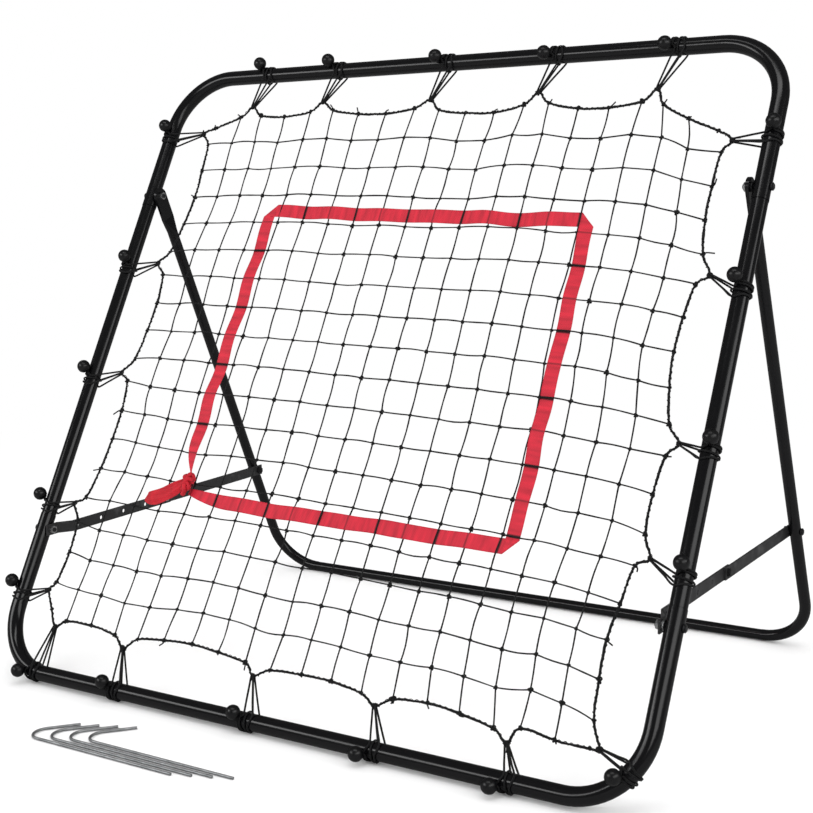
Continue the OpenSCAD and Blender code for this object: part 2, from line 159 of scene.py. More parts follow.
HALF_SPAN = box_centre("right_upright").x
TUBE_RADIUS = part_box("bottom_tube")[1].x - HALF_SPAN
AXIS_ORIGIN = np.array([0, 0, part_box("bottom_tube")[0].z + TUBE_RADIUS])
ACROSS = np.array([1.0, 0.0, 0.0])
UP_SLOPE = unit((joint_place("support_fold") - AXIS_ORIGIN) * (0, 1, 1))
TO_FRONT = np.cross(ACROSS, UP_SLOPE)
RISE = (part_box("top_tube")[1].z - TUBE_RADIUS - AXIS_ORIGIN[2]) / UP_SLOPE[2]


def to_world(points):
    """Points given as (across, up the slope, out to the front) in the row frame."""
    points = np.asarray(points, float).reshape(-1, 3)
    return AXIS_ORIGIN + points @ np.array([ACROSS, UP_SLOPE, TO_FRONT])


def to_plane(points):
    return (np.asarray(points) - AXIS_ORIGIN) @ np.array([ACROSS, UP_SLOPE, TO_FRONT]).T


def clamp_inside(point):
    """The nearest point of the area that the four corner bends turn round."""
    reach = HALF_SPAN - CORNER_RADIUS
    return np.array([min(max(point[0], -reach), reach),
                     min(max(point[1], CORNER_RADIUS), RISE - CORNER_RADIUS)])


def on_frame_axis(point):
    """The nearest point on the frame tubes' centreline, in the frame's plane."""
    inner = clamp_inside(point)
    return inner + CORNER_RADIUS * unit(np.asarray(point[:2]) - inner)


# ---------- meshes ----------


class Shape:
    """Collects vertices, faces and texture places for one piece."""

    def __init__(self):
        self.points = []
        self.faces = []
        self.places = []
        self.count = 0

    def grid(self, points, closed_across=False, closed_along=False, caps=False, places=None):
        """A sheet of points[along][across], joined into quads."""
        rows, columns = points.shape[:2]
        first = self.count
        self.points.append(points.reshape(-1, 3))
        self.count += rows * columns
        if places is None:
            places = np.stack(np.meshgrid(range(columns + 1), range(rows + 1)), -1) * 1.0
        for i in range(rows if closed_along else rows - 1):
            for j in range(columns if closed_across else columns - 1):
                a = i * columns
                b = (i + 1) % rows * columns
                k = (j + 1) % columns
                self.faces.append((first + a + j, first + a + k, first + b + k, first + b + j))
                self.places.append((places[i, j], places[i, j + 1],
                                    places[i + 1, j + 1], places[i + 1, j]))
        if caps:
            for row, order in ((0, -1), (rows - 1, 1)):
                ring = [first + row * columns + j for j in range(columns)][::order]
                self.faces.append(tuple(ring))
                self.places.append(tuple(places[row, 0] for _ in ring))

    def tube(self, path, radius, sides=6, closed=False):
        """A tube along a path, its radius one number or one for each point."""
        path = np.asarray(path, float)
        count = len(path)
        if closed:
            ahead = np.roll(path, -1, 0) - np.roll(path, 1, 0)
        else:
            ahead = np.gradient(path, axis=0)
        ahead /= np.linalg.norm(ahead, axis=1)[:, None]
        side = np.zeros_like(path)
        seed = np.eye(3)[np.argmin(np.abs(ahead[0]))]
        side[0] = unit(np.cross(ahead[0], seed))
        for i in range(1, count):
            flat = side[i - 1] - ahead[i] * (side[i - 1] @ ahead[i])
            side[i] = unit(flat)
        other = np.cross(ahead, side)
        turn = np.linspace(0, 2 * math.pi, sides, endpoint=False)
        if closed:
            # spread the leftover twist along the loop, so that its ends meet
            last = side[-1] - ahead[0] * (side[-1] @ ahead[0])
            slip = math.atan2(last @ other[0], last @ side[0])
            turn = turn[None, :] - slip * np.arange(count)[:, None] / count
        else:
            turn = np.repeat(turn[None, :], count, 0)
        radii = np.broadcast_to(radius, count)[:, None, None]
        ring = np.cos(turn)[..., None] * side[:, None] + np.sin(turn)[..., None] * other[:, None]
        length = np.linalg.norm(np.diff(path, axis=0, append=path[:1]), axis=1)
        along = np.concatenate([[0], np.cumsum(length)])
        places = np.stack(np.meshgrid(np.linspace(0, 1, sides + 1), along), -1)
        self.grid(path[:, None] + ring * radii, closed_across=True, closed_along=closed,
                  caps=not closed, places=places)

    def make(self, name, material, body):
        mesh = bpy.data.meshes.new(name)
        mesh.from_pydata(np.concatenate(self.points).tolist(), [], self.faces)
        mesh.update()
        layer = mesh.uv_layers.new(name="along")
        layer.data.foreach_set("uv", np.concatenate([np.array(p) for p in self.places]).ravel())
        mesh.polygons.foreach_set("use_smooth", [True] * len(mesh.polygons))
        mesh.materials.append(material)
        obj = bpy.data.objects.new(name, mesh)
        bpy.context.scene.collection.objects.link(obj)
        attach(obj, body)
        return obj


def smooth_path(points, steps, closed=False):
    """A Catmull-Rom curve through the points."""
    points = np.asarray(points, float)
    if closed:
        padded = np.concatenate([points[-1:], points, points[:2]])
    else:
        padded = np.concatenate([2 * points[:1] - points[1:2], points,
                                 2 * points[-1:] - points[-2:-1]])
    t = np.linspace(0, 1, steps, endpoint=False)[:, None]
    pieces = []
    for a, b, c, d in zip(padded, padded[1:], padded[2:], padded[3:]):
        pieces.append(0.5 * (2 * b + (c - a) * t + (2 * a - 5 * b + 4 * c - d) * t ** 2
                             + (3 * b - a - 3 * c + d) * t ** 3))
    if not closed:
        pieces.append(points[-1:])
    return np.concatenate(pieces)


def node_points(node):
    """The points of a CAD node, in the row frame."""
    return np.array([v.co for v in frame["nodes"][node].data.vertices])


def islands(node):
    """The separate solids of a CAD node, each as its points in the frame's plane."""
    mesh = frame["nodes"][node].data
    places = to_plane(node_points(node))
    # vertices at one place are one point, however the faces share them
    keys, same = np.unique(np.round(places / (0.01 * MM)), axis=0, return_inverse=True)
    same = same.ravel()
    label = np.arange(len(keys))
    edges = np.array([e.vertices[:] for e in mesh.edges])
    a, b = same[edges[:, 0]], same[edges[:, 1]]
    while True:
        low = np.minimum(label[a], label[b])
        before = label.copy()
        np.minimum.at(label, a, low)
        np.minimum.at(label, b, low)
        label = label[label]
        if (label == before).all():
            break
    return [places[label[same] == part] for part in np.unique(label)]


# ---------- materials ----------


class Paint:
    """A node material with one Principled shader and helpers to wire it."""

    def __init__(self, name, color, roughness, metallic=0.0):
        self.material = bpy.data.materials.new(name)
        self.material.use_nodes = True
        self.tree = self.material.node_tree
        self.shader = self.tree.nodes["Principled BSDF"]
        self.shader.inputs["Base Color"].default_value = (*color, 1)
        self.shader.inputs["Roughness"].default_value = roughness
        self.shader.inputs["Metallic"].default_value = metallic

    def node(self, kind, **values):
        made = self.tree.nodes.new(kind)
        for key, value in values.items():
            if hasattr(made, key):
                setattr(made, key, value)
            else:
                made.inputs[key.replace("_", " ")].default_value = value
        return made

    def link(self, a, b):
        self.tree.links.new(a, b)

    def space(self, which="Object", scale=(1, 1, 1)):
        """Texture coordinates; which is Object or UV."""
        place = self.node("ShaderNodeTexCoord")
        move = self.node("ShaderNodeMapping")
        move.inputs["Scale"].default_value = scale
        self.link(place.outputs[which], move.inputs["Vector"])
        return move.outputs["Vector"]

    def split_uv(self):
        place = self.node("ShaderNodeTexCoord")
        split = self.node("ShaderNodeSeparateXYZ")
        self.link(place.outputs["UV"], split.inputs["Vector"])
        return split.outputs["X"], split.outputs["Y"]

    def noise(self, scale, detail=2.0, space=None):
        made = self.node("ShaderNodeTexNoise", Scale=scale, Detail=detail)
        self.link(space or self.space(), made.inputs["Vector"])
        return made.outputs["Fac"]

    def ramp(self, value, low, high, start=0.3, end=0.7):
        made = self.node("ShaderNodeMapRange")
        made.inputs["From Min"].default_value = start
        made.inputs["From Max"].default_value = end
        made.inputs["To Min"].default_value = low
        made.inputs["To Max"].default_value = high
        self.link(value, made.inputs["Value"])
        return made.outputs["Result"]

    def mix(self, value, first, second):
        made = self.node("ShaderNodeMix", data_type="RGBA")
        # a colour mix keeps its factor first and its two colours at 6 and 7
        made.inputs[6].default_value = (*first, 1)
        made.inputs[7].default_value = (*second, 1)
        self.link(value, made.inputs[0])
        self.link(made.outputs[2], self.shader.inputs["Base Color"])

    def rough(self, value):
        self.link(value, self.shader.inputs["Roughness"])

    def bump(self, value, height, strength=1.0):
        made = self.node("ShaderNodeBump", Strength=strength, Distance=height)
        self.link(value, made.inputs["Height"])
        self.link(made.outputs["Normal"], self.shader.inputs["Normal"])

    def math(self, operation, a, b):
        made = self.node("ShaderNodeMath", operation=operation)
        for socket, value in zip(made.inputs, (a, b)):
            if isinstance(value, (int, float)):
                socket.default_value = value
            else:
                self.link(value, socket)
        return made.outputs["Value"]


def powder_coat():
    """Gloss black powder coat with a fine orange peel."""
    paint = Paint("powder_coat", (0.003, 0.003, 0.0035), 0.17)
    paint.rough(paint.ramp(paint.noise(14, 4), 0.13, 0.22))
    paint.bump(paint.noise(900, 2), 0.06 * MM, 0.35)
    paint.shader.inputs["Specular IOR Level"].default_value = 0.45
    return paint.material


def bar_paint():
    """Satin black on flat stamped bar, a little scuffed."""
    paint = Paint("bar_paint", (0.012, 0.012, 0.013), 0.42)
    scuffs = paint.ramp(paint.noise(60, 6), 0, 1, 0.55, 0.75)
    paint.mix(scuffs, (0.018, 0.018, 0.019), (0.05, 0.05, 0.052))
    paint.rough(paint.ramp(paint.noise(35, 3), 0.32, 0.5))
    paint.bump(paint.noise(1100, 2), 0.05 * MM, 0.3)
    return paint.material


def zinc_plate():
    """Bright zinc plating, mottled."""
    paint = Paint("zinc_plate", (0.62, 0.63, 0.65), 0.3, 1.0)
    paint.mix(paint.ramp(paint.noise(260, 3), 0, 1), (0.5, 0.51, 0.53), (0.72, 0.72, 0.7))
    paint.rough(paint.ramp(paint.noise(700, 3), 0.2, 0.42))
    paint.bump(paint.noise(1500, 2), 0.02 * MM, 0.4)
    return paint.material


def black_hardware():
    """Blackened bolts, nuts and washers."""
    paint = Paint("black_hardware", (0.03, 0.03, 0.032), 0.35, 0.7)
    paint.rough(paint.ramp(paint.noise(500, 3), 0.28, 0.45))
    paint.bump(paint.noise(1400, 2), 0.02 * MM, 0.4)
    return paint.material


def galvanised_wire():
    """Dull zinc coated wire."""
    paint = Paint("galvanised_wire", (0.5, 0.51, 0.52), 0.42, 0.9)
    paint.mix(paint.ramp(paint.noise(90, 5), 0, 1), (0.36, 0.37, 0.38), (0.6, 0.61, 0.62))
    paint.rough(paint.ramp(paint.noise(300, 4), 0.34, 0.55))
    paint.bump(paint.noise(800, 3), 0.05 * MM, 0.5)
    return paint.material


def twine(name, color, pitch):
    """Twisted cord: ridges that wind round it once every pitch, with painted shade in the grooves and a painted
    highlight on the ridges.
    """
    paint = Paint(name, color, 0.62)
    around, along = paint.split_uv()
    turns = paint.math("MULTIPLY", along, 1 / pitch)
    phase = paint.math("ADD", turns, paint.math("MULTIPLY", around, 2.0))
    ridge = paint.math("SINE", paint.math("MULTIPLY", phase, 2 * math.pi), 0)
    fuzz = paint.math("MULTIPLY", paint.noise(2500, 3), 0.8)
    paint.bump(paint.math("ADD", ridge, fuzz), 0.16 * MM, 0.9)
    # the colour is darker in the grooves and lighter on the ridges: painted shade and painted highlight of the
    # twist
    paint.mix(paint.ramp(ridge, 0, 1, -1, 1), tuple(c * 0.6 for c in color),
              tuple(c * 1.7 for c in color))
    paint.shader.inputs["Specular IOR Level"].default_value = 0.25
    paint.shader.inputs["Sheen Weight"].default_value = 0.03
    return paint.material


def woven_ribbon(name, colour):
    """Red woven ribbon: fine over and under threads and creases across it, darkened between the threads and in the
    creases as painted shade, with a dark painted shadow line where a strand of the net crosses in front of it and
    a faint painted shadow line where one lies behind it."""
    paint = Paint(name, colour, 0.6)
    across, along = paint.split_uv()
    threads = THREADS_PER_METRE * math.pi
    warp = paint.math("SINE", paint.math("MULTIPLY", across, threads), 0)
    weft = paint.math("SINE", paint.math("MULTIPLY", along, threads), 0)
    weave = paint.math("MULTIPLY", warp, weft)
    crease = paint.noise(1, 3, paint.space("UV", (20, 120, 1)))
    shade = paint.math("ADD", paint.math("MULTIPLY", weave, 0.12), crease)
    # darker where the weave and the creases dip: painted shade
    lit = paint.ramp(shade, 0.55, 1, 0.3, 0.75)
    # the ribbon lies over the strands with even numbers and under the odd ones; a painted shadow line is drawn at
    # each, faint where the strand lies behind and nearly black where it crosses in front
    pairs = paint.math("MULTIPLY", along, 0.5 / MESH_SIDE)
    for shift, darkest, near, far in ((0.5, 0.45, 0.008, 0.02), (0, 0, 0.012, 0.034)):
        past = paint.math("FRACT", paint.math("ADD", pairs, shift), 0)
        away = paint.math("ABSOLUTE", paint.math("SUBTRACT", past, 0.5), 0)
        lit = paint.math("MULTIPLY", lit, paint.ramp(away, darkest, 1, near, far))
    # the painted shade runs from the ribbon's red down to a near black red
    paint.mix(lit, (0.05, 0.002, 0.006), colour)
    paint.bump(shade, 0.4 * MM, 0.6)
    paint.shader.inputs["Sheen Weight"].default_value = 0.05
    paint.shader.inputs["Specular IOR Level"].default_value = 0.3
    return paint.material


def ball_plastic():
    """Black moulded plastic."""
    paint = Paint("ball_plastic", (0.003, 0.003, 0.0035), 0.3)
    paint.rough(paint.ramp(paint.noise(400, 3), 0.24, 0.4))
    paint.bump(paint.noise(1300, 2), 0.03 * MM, 0.4)
    return paint.material


def floor_paper():
    """White paper that runs out into the white of the room, and is dim in reflections."""
    paint = Paint("floor_paper", FLOOR_WHITE, 0.75)
    paint.shader.inputs["Specular IOR Level"].default_value = 0.0
    size = paint.node("ShaderNodeVectorMath", operation="LENGTH")
    paint.link(paint.space(), size.inputs[0])
    far = paint.ramp(size.outputs["Value"], 0, 1, FLOOR_NEAR, FLOOR_FAR)
    ray = paint.node("ShaderNodeLightPath")
    glossy = paint.math("MULTIPLY", ray.outputs["Is Glossy Ray"], FLOOR_DIMMED)
    bright = paint.math("SUBTRACT", 1.0, glossy)
    paper = paint.math("MULTIPLY", paint.math("SUBTRACT", 1.0, far), bright)
    paint.mix(paper, (0, 0, 0), FLOOR_WHITE)
    paint.link(paint.math("MULTIPLY", far, bright), paint.shader.inputs["Emission Strength"])
    paint.shader.inputs["Emission Color"].default_value = (1, 1, 1, 1)
    return paint.material


# ---------- where the bungees are ----------


def centre_of(part):
    return (part.min(0) + part.max(0)) / 2


def read_hooks():
    """Each bungee as its CAD solids give it: the net point, where its two loops go round
    the tube, and the ball's centre, clockwise from the top left corner."""
    middle = np.array([0, RISE / 2])
    hooks = []
    for side in SIDES:
        loops = islands("cords_" + side)
        for ball in map(centre_of, islands("balls_" + side)):
            # the two loops of cord nearest the ball are its own
            loops.sort(key=lambda part: np.linalg.norm(centre_of(part) - ball))
            rings = []
            tips = []
            for loop in loops[:2]:
                reach = np.linalg.norm(loop[:, :2] - middle, axis=1)
                rings.append(on_frame_axis(loop[reach > reach.max() - 0.3 * MM].mean(0)))
                tips.append(loop[reach < reach.min() + 1 * MM].mean(0))
            rings.sort(key=lambda ring: np.linalg.norm(ring - ball[:2]))
            tip = np.mean(tips, axis=0)
            tip[:2] += unit(tip[:2] - np.mean(rings, axis=0)) * HOOK_REACH
            hooks.append({"side": side, "net": tip * (1, 1, 0), "rings": rings, "ball": ball})

    def clockwise(hook):
        x, up = hook["net"][:2] - middle
        return (math.degrees(math.atan2(x, up)) + 45) % 360

    return sorted(hooks, key=clockwise)


# ---------- net ----------


def edge_step(t):
    """The knot (row, column) at a whole number of squares clockwise round the edge."""
    wide, high = MESHES_WIDE, MESHES_HIGH
    t = int(t) % (2 * (wide + high))
    if t <= wide:
        return 0, t
    if t <= wide + high:
        return t - wide, wide
    if t <= 2 * wide + high:
        return high, 2 * wide + high - t
    return 2 * (wide + high) - t, 0


def relax_net(hooks):
    """Hangs the net on its hooks: knots joined by springs, the hook points held still.
    Returns the knots as [row][column] and the edge as a closed loop of points."""
    rows, columns = MESHES_HIGH + 1, MESHES_WIDE + 1
    index = np.arange(rows * columns).reshape(rows, columns)
    row, column = np.mgrid[0:rows, 0:columns]
    knots = np.stack([(column - MESHES_WIDE / 2) * MESH_SIDE,
                      RISE / 2 - (row - MESHES_HIGH / 2) * MESH_SIDE,
                      np.zeros((rows, columns))], -1).reshape(-1, 3)
    held = np.array([h["net"] for h in hooks])
    points = np.concatenate([knots, held])
    pairs = []
    lengths = []
    stiff = []

    def spring(a, b, squares, strength=1.0):
        pairs.append((a, b))
        lengths.append(squares * MESH_SIDE * NET_SLACK * (1 + rng.normal(0, STRAND_SPREAD)))
        stiff.append(strength)

    for r in range(rows):
        for c in range(columns):
            inside_row = 0 < r < rows - 1
            inside_column = 0 < c < columns - 1
            if c + 1 < columns and inside_row:
                spring(index[r, c], index[r, c + 1], 1)
            if r + 1 < rows and inside_column:
                spring(index[r, c], index[r + 1, c], 1)
            if r + 1 < rows and c + 1 < columns:
                diagonal = math.sqrt(2)
                spring(index[r, c], index[r + 1, c + 1], diagonal, DIAGONAL_STIFFNESS)
                spring(index[r, c + 1], index[r + 1, c], diagonal, DIAGONAL_STIFFNESS)
    loop = []
    stations = sorted([(float(t), None) for t in range(2 * (MESHES_WIDE + MESHES_HIGH))]
                      + [(t, len(knots) + i) for i, t in enumerate(HOOKS_AT)])
    for t, hook in stations:
        loop.append((t, index[edge_step(t)] if hook is None else hook))
    for (t, a), (after, b) in zip(loop, loop[1:] + loop[:1]):
        gap = (after - t) % (2 * (MESHES_WIDE + MESHES_HIGH))
        spring(a, b, gap * EDGE_SLACK / NET_SLACK, EDGE_STIFFNESS)

    pairs = np.array(pairs)
    lengths = np.array(lengths)
    stiff = np.array(stiff)
    a, b = pairs.T
    pull = np.zeros_like(points)
    pull[: len(knots)] = NET_GRAVITY * MESH_SIDE * to_plane(AXIS_ORIGIN - (0, 0, 1))
    speed = np.zeros_like(points)
    for _ in range(RELAX_STEPS):
        span = points[b] - points[a]
        size = np.linalg.norm(span, axis=1)
        force = stiff * (size - lengths)
        force = np.where(force < 0, force * PUSH_SHARE, force)
        push = span * (force / size)[:, None]
        total = pull.copy()
        np.add.at(total, a, push)
        np.add.at(total, b, -push)
        speed = (speed + RELAX_PACE * total) * RELAX_DAMPING
        speed[len(knots):] = 0
        points = points + speed
    return points[: len(knots)].reshape(rows, columns, 3), points[[i for _, i in loop]], loop


def knot_shape(shape, place, size, turn):
    """A small overhand knot."""
    t = np.linspace(0, 2 * math.pi, 18, endpoint=False)
    curve = np.stack([np.sin(t) + 2 * np.sin(2 * t), np.cos(t) - 2 * np.cos(2 * t),
                      -1.2 * np.sin(3 * t)], -1) * size / 3
    turned = curve @ np.array([[math.cos(turn), math.sin(turn), 0],
                               [-math.sin(turn), math.cos(turn), 0], [0, 0, 1]])
    shape.tube(to_world(place + turned), size * 0.34, 5, closed=True)


def strand(shape, knots):
    """One line of twine through a row or column of knots, not quite straight between."""
    steps = 4
    points = [knots[0]]
    for start, end in zip(knots, knots[1:]):
        bow = rng.normal(0, TWINE_BOW, 3)
        for i in range(1, steps + 1):
            share = i / steps
            points.append(start + (end - start) * share + bow * math.sin(math.pi * share))
    points = np.array(points)
    radius = TWINE_RADIUS * (1 + rng.normal(0, 0.06, len(points)))
    shape.tube(to_world(points), radius, 6)


def make_net(knots, material):
    shape = Shape()
    for column in range(1, MESHES_WIDE):
        strand(shape, knots[:, column])
    for row in range(1, MESHES_HIGH):
        strand(shape, knots[row, :] + (0, 0, ROW_LIFT))
    for row in range(1, MESHES_HIGH):
        for column in range(1, MESHES_WIDE):
            size = KNOT_SIZE * (1 + rng.normal(0, 0.12))
            knot_shape(shape, knots[row, column], size, rng.uniform(0, math.pi))
    return shape.make("net_twine_mesh", material, "front_frame")


def edge_rope(shape, loop_points):
    rope = smooth_path(loop_points, 5, closed=True)
    rope += rng.normal(0, 0.25 * MM, rope.shape)
    radius = EDGE_RADIUS * (1 + rng.normal(0, 0.1, len(rope)))
    shape.tube(to_world(rope), radius, 7, closed=True)


def edge_whipping(shape, loop_points):
    """A thinner line winds round the rope."""
    coil = smooth_path(loop_points, 44, closed=True)
    ahead = np.roll(coil, -1, 0) - coil
    length = np.cumsum(np.linalg.norm(ahead, axis=1))
    ahead /= np.linalg.norm(ahead, axis=1)[:, None]
    side = np.cross(ahead, (0, 0, 1))
    turns = round(length[-1] / WHIP_PITCH)
    turn = length / length[-1] * turns * 2 * math.pi
    offset = np.cos(turn)[:, None] * side + np.sin(turn)[:, None] * np.array([0, 0, 1])
    path = coil + offset * (EDGE_RADIUS + WHIP_RADIUS * 0.5)
    shape.tube(to_world(path), WHIP_RADIUS, 4, closed=True)


def loose_end(shape, place):
    """A short end of twine left sticking out of a knot."""
    out = unit(place[:2] - (0, RISE / 2))
    lean = np.array([*out, rng.uniform(-0.6, 0.6)])
    bend = rng.normal(0, 2 * MM, 3)
    end = rng.uniform(5, 10) * MM
    tip = [place, place + lean * end * 0.5, place + lean * end + bend]
    shape.tube(to_world(smooth_path(tip, 3)), TWINE_RADIUS, 5)


def make_edge_cord(loop_points, loop, material):
    shape = Shape()
    edge_rope(shape, loop_points)
    edge_whipping(shape, loop_points)
    knots_of_net = (MESHES_WIDE + 1) * (MESHES_HIGH + 1)
    for place, (_, number) in zip(loop_points, loop):
        usual = EDGE_KNOT_SIZE if number < knots_of_net else HOOK_KNOT_SIZE
        size = usual * (1 + rng.normal(0, 0.12))
        knot_shape(shape, place, size, rng.uniform(0, math.pi))
        if rng.random() < LOOSE_ENDS:
            loose_end(shape, place)
    return shape.make("net_edge_rope", material, "front_frame")


# ---------- ribbon ----------


def ribbon_corners():
    """Centreline corners of the target, clockwise from the top left, from the CAD strips."""
    (outline,) = islands("target_ribbon")
    half = RIBBON_WIDTH / 2
    corners = []
    for side_x, side_up in ((-1, 1), (1, 1), (1, -1), (-1, -1)):
        outer = outline[np.argmax(outline[:, 0] * side_x + outline[:, 1] * side_up)]
        corners.append(outer[:2] - np.array([side_x, side_up]) * half)
    return corners


def net_height(knots, x, up, along_x):
    """How far the net is bowed out at a point, and the point's place counted in squares
    along the ribbon."""
    rows = range(MESHES_HIGH, -1, -1)
    ups = [np.interp(x, knots[r, :, 0], knots[r, :, 1]) for r in rows]
    heights = [np.interp(x, knots[r, :, 0], knots[r, :, 2]) for r in rows]
    height = np.interp(up, ups, heights)
    if not along_x:
        return height, np.interp(up, ups, rows)
    columns = range(MESHES_WIDE + 1)
    places = [np.interp(up, knots[::-1, c, 1], knots[::-1, c, 0]) for c in columns]
    return height, np.interp(x, places, columns)


def band(shape, knots, ends, cuts, widths=(1, 1), pulls=((0, 0), (0, 0)), lift=0.0):
    """One side of the target. It passes over one strand and under the next. Each end has
    a cut, 1 for the 45 degree slope of a folded corner, a width, and a pull that draws it
    aside towards the knot."""
    steps, across = 130, 9
    start, end = ends
    along = unit(end - start)
    side = np.array([-along[1], along[0]])
    length = np.linalg.norm(end - start)
    along_x = abs(along[0]) > abs(along[1])
    sheet = np.zeros((steps + 1, across, 3))
    places = np.zeros((steps + 2, across + 1, 2))
    wander = smooth_path(np.column_stack([rng.normal(0, 0.5 * MM, 14)] * 3), 10)[:, 0]
    for i in range(steps + 1):
        share = i / steps
        near = [max(0.0, 1 - distance / TAPER) ** 2
                for distance in (share * length, (1 - share) * length)]
        width = max(LEAST_WIDTH, 1 + (widths[0] - 1) * near[0] + (widths[1] - 1) * near[1])
        pull = np.array(pulls[0]) * near[0] + np.array(pulls[1]) * near[1]
        for j in range(across):
            a = 2 * j / (across - 1) - 1
            offset = a * RIBBON_WIDTH / 2
            reach = (cuts[0] * (1 - share) - cuts[1] * share) * offset
            point = start + along * (share * length + reach) + side * offset * width
            point = point + side * wander[i] + pull
            height, square = net_height(knots, *point, along_x)
            wave = WEAVE_HEIGHT * math.cos(math.pi * square) * (1 - max(near))
            curl = 0.5 * MM * a * a * math.sin(9 * share * math.pi)
            middle = COLUMN_LIFT if along_x else ROW_LIFT
            sheet[i, j] = (*point, height + middle + wave + curl + lift)
            places[i, j] = (offset, square * MESH_SIDE)
    places[:, across] = places[:, across - 1]
    places[steps + 1] = places[steps]
    add_sheet(shape, sheet, places)


def add_sheet(shape, sheet, places):
    """A thin closed sheet round a surface, its thickness towards the front and back."""
    half = np.array([0, 0, RIBBON_THICK / 2])
    front = sheet + half
    back = (sheet - half)[:, ::-1]
    shell = np.concatenate([front, back], axis=1)
    around = np.concatenate([places[:, :-1], places[:, -2::-1], places[:, :1]], axis=1)
    rows, columns = shell.shape[:2]
    world = to_world(shell).reshape(rows, columns, 3)
    shape.grid(world, closed_across=True, caps=True, places=around)


def ribbon_wrap(shape, centre, long_way, short_way, turn, width):
    """One turn of the bunched ribbon round the knot."""
    t = np.linspace(0, 2 * math.pi, 28, endpoint=False)
    path = np.stack([long_way * np.cos(t), 3 * MM * np.sin(2 * t), short_way * np.sin(t)], -1)
    c, s = math.cos(turn), math.sin(turn)
    path = path @ np.array([[c, s, 0], [-s, c, 0], [0, 0, 1]])
    radius = width * (1 + 0.14 * np.sin(5 * t) + 0.08 * np.cos(9 * t + 1))
    shape.tube(to_world(centre + path), radius, 9, closed=True)


def ribbon_tail(shape, start, end):
    """The loose end: gathered at the knot, fanning out and creased."""
    steps, across = 34, 15
    along = end - start
    side = unit(np.array([-along[1], along[0]]))
    length = np.linalg.norm(along)
    sheet = np.zeros((steps + 1, across, 3))
    places = np.zeros((steps + 2, across + 1, 2))
    for i in range(steps + 1):
        share = i / steps
        width = RIBBON_WIDTH * (0.5 + 0.62 * math.sin(share * 2.4) ** 0.7)
        droop = side * 5 * MM * math.sin(share * 2.9)
        for j in range(across):
            a = 2 * j / (across - 1) - 1
            ragged = unit(along) * MM * (0.7 * math.sin(4 * a + 1) - 7 * a * a) * share ** 4
            point = start + along * share + ragged + side * a * width / 2 + droop
            fold = 2.4 * MM * (1 - 0.7 * share) * math.sin(a * 4.2 + share * 1.5)
            lift = 5 * MM * math.cos(share * 1.6) + 0.8 * MM * math.sin(share * 11 + a * 2)
            sheet[i, j] = (*point, fold + lift)
            # no strand crosses the tail, so its places stay between two strands
            places[i, j] = (a * width / 2, MESH_SIDE * (0.15 + 0.7 * share))
    places[:, across] = places[:, across - 1]
    places[steps + 1] = places[steps]
    add_sheet(shape, sheet, places)


def knot_places():
    """The middle of the ribbon's knot and the end of its tail, from the CAD."""
    (points,) = islands("target_knot")
    face = points[points[:, 2] > points[:, 2].max() - 0.1 * MM]
    knot = centre_of(face)[:2]
    reach = np.linalg.norm(points[:, :2] - knot, axis=1)
    return knot, points[reach > reach.max() - 1 * MM].mean(0)[:2]


def make_ribbon(knots, material, shaded_material):
    top_left, top_right, bottom_right, bottom_left = ribbon_corners()
    knot, tail = knot_places()
    left_foot = np.array([bottom_left[0], knot[1]])
    bottom_foot = np.array([knot[0], bottom_left[1]])
    shape = Shape()
    above = OVERLAP_LIFT
    still = (0, 0)
    band(shape, knots, (top_left, top_right), (1, 1), lift=above)
    band(shape, knots, (top_right, bottom_right), (1, 1))
    band(shape, knots, (bottom_right, bottom_foot), (1, 0), (1, 0.45),
         (still, (knot - bottom_foot) * 0.45), above)
    band(shape, knots, (left_foot, top_left), (0, 1), (-0.5, 1), (knot - left_foot, still))
    ribbon = shape.make("target_ribbon_woven", material, "front_frame")
    # the knot: three turns of ribbon, one more below them, and the tail
    shape = Shape()
    centre = np.array([*knot, KNOT_HEIGHT])
    ribbon_wrap(shape, centre, 12 * MM, 4 * MM, 1.1, 3.2 * MM)
    ribbon_wrap(shape, centre, 8 * MM, 5 * MM, 0.2, 3.0 * MM)
    ribbon_wrap(shape, centre, 10 * MM, 3.5 * MM, 2.0, 2.8 * MM)
    below = np.array([*(knot + (bottom_foot - knot) * 0.4), KNOT_HEIGHT])
    ribbon_wrap(shape, below, 10 * MM, 4 * MM, 1.3, 3.2 * MM)
    ribbon_tail(shape, knot, tail)
    # the knot and tail take the darker copy of the ribbon: painted shade
    tied = shape.make("target_knot_and_tail", shaded_material, "front_frame")
    return ribbon, tied


# ---------- bungee cords and balls ----------


def tube_directions(place):
    """At a place on the frame tubes: along the tube, and out from the net."""
    out = unit(place - clamp_inside(place))
    return np.array([-out[1], out[0], 0]), np.array([*out, 0])


class Wrap:
    """Places round the frame tube at one loop of a bungee. An angle is 0 at the tube's
    front and grows outwards; a shift is along the tube."""

    def __init__(self, hook, number):
        ring = hook["rings"][number]
        self.along, self.out = tube_directions(ring)
        self.front = np.array([0, 0, 1])
        self.tube = np.array([*ring, 0])
        self.radius = TUBE_RADIUS + CORD_RADIUS + WRAP_RADIUS_GAP
        ball = hook["ball"] - self.tube
        self.ball_shift = ball @ self.along
        self.ball_angle = math.atan2(ball @ self.out, ball @ self.front)
        self.hand = math.copysign(1, self.ball_shift)

    def at(self, angle, shift, lift=0.0):
        outwards = math.cos(angle) * self.front + math.sin(angle) * self.out
        return self.tube + self.along * shift + (self.radius + lift) * outwards


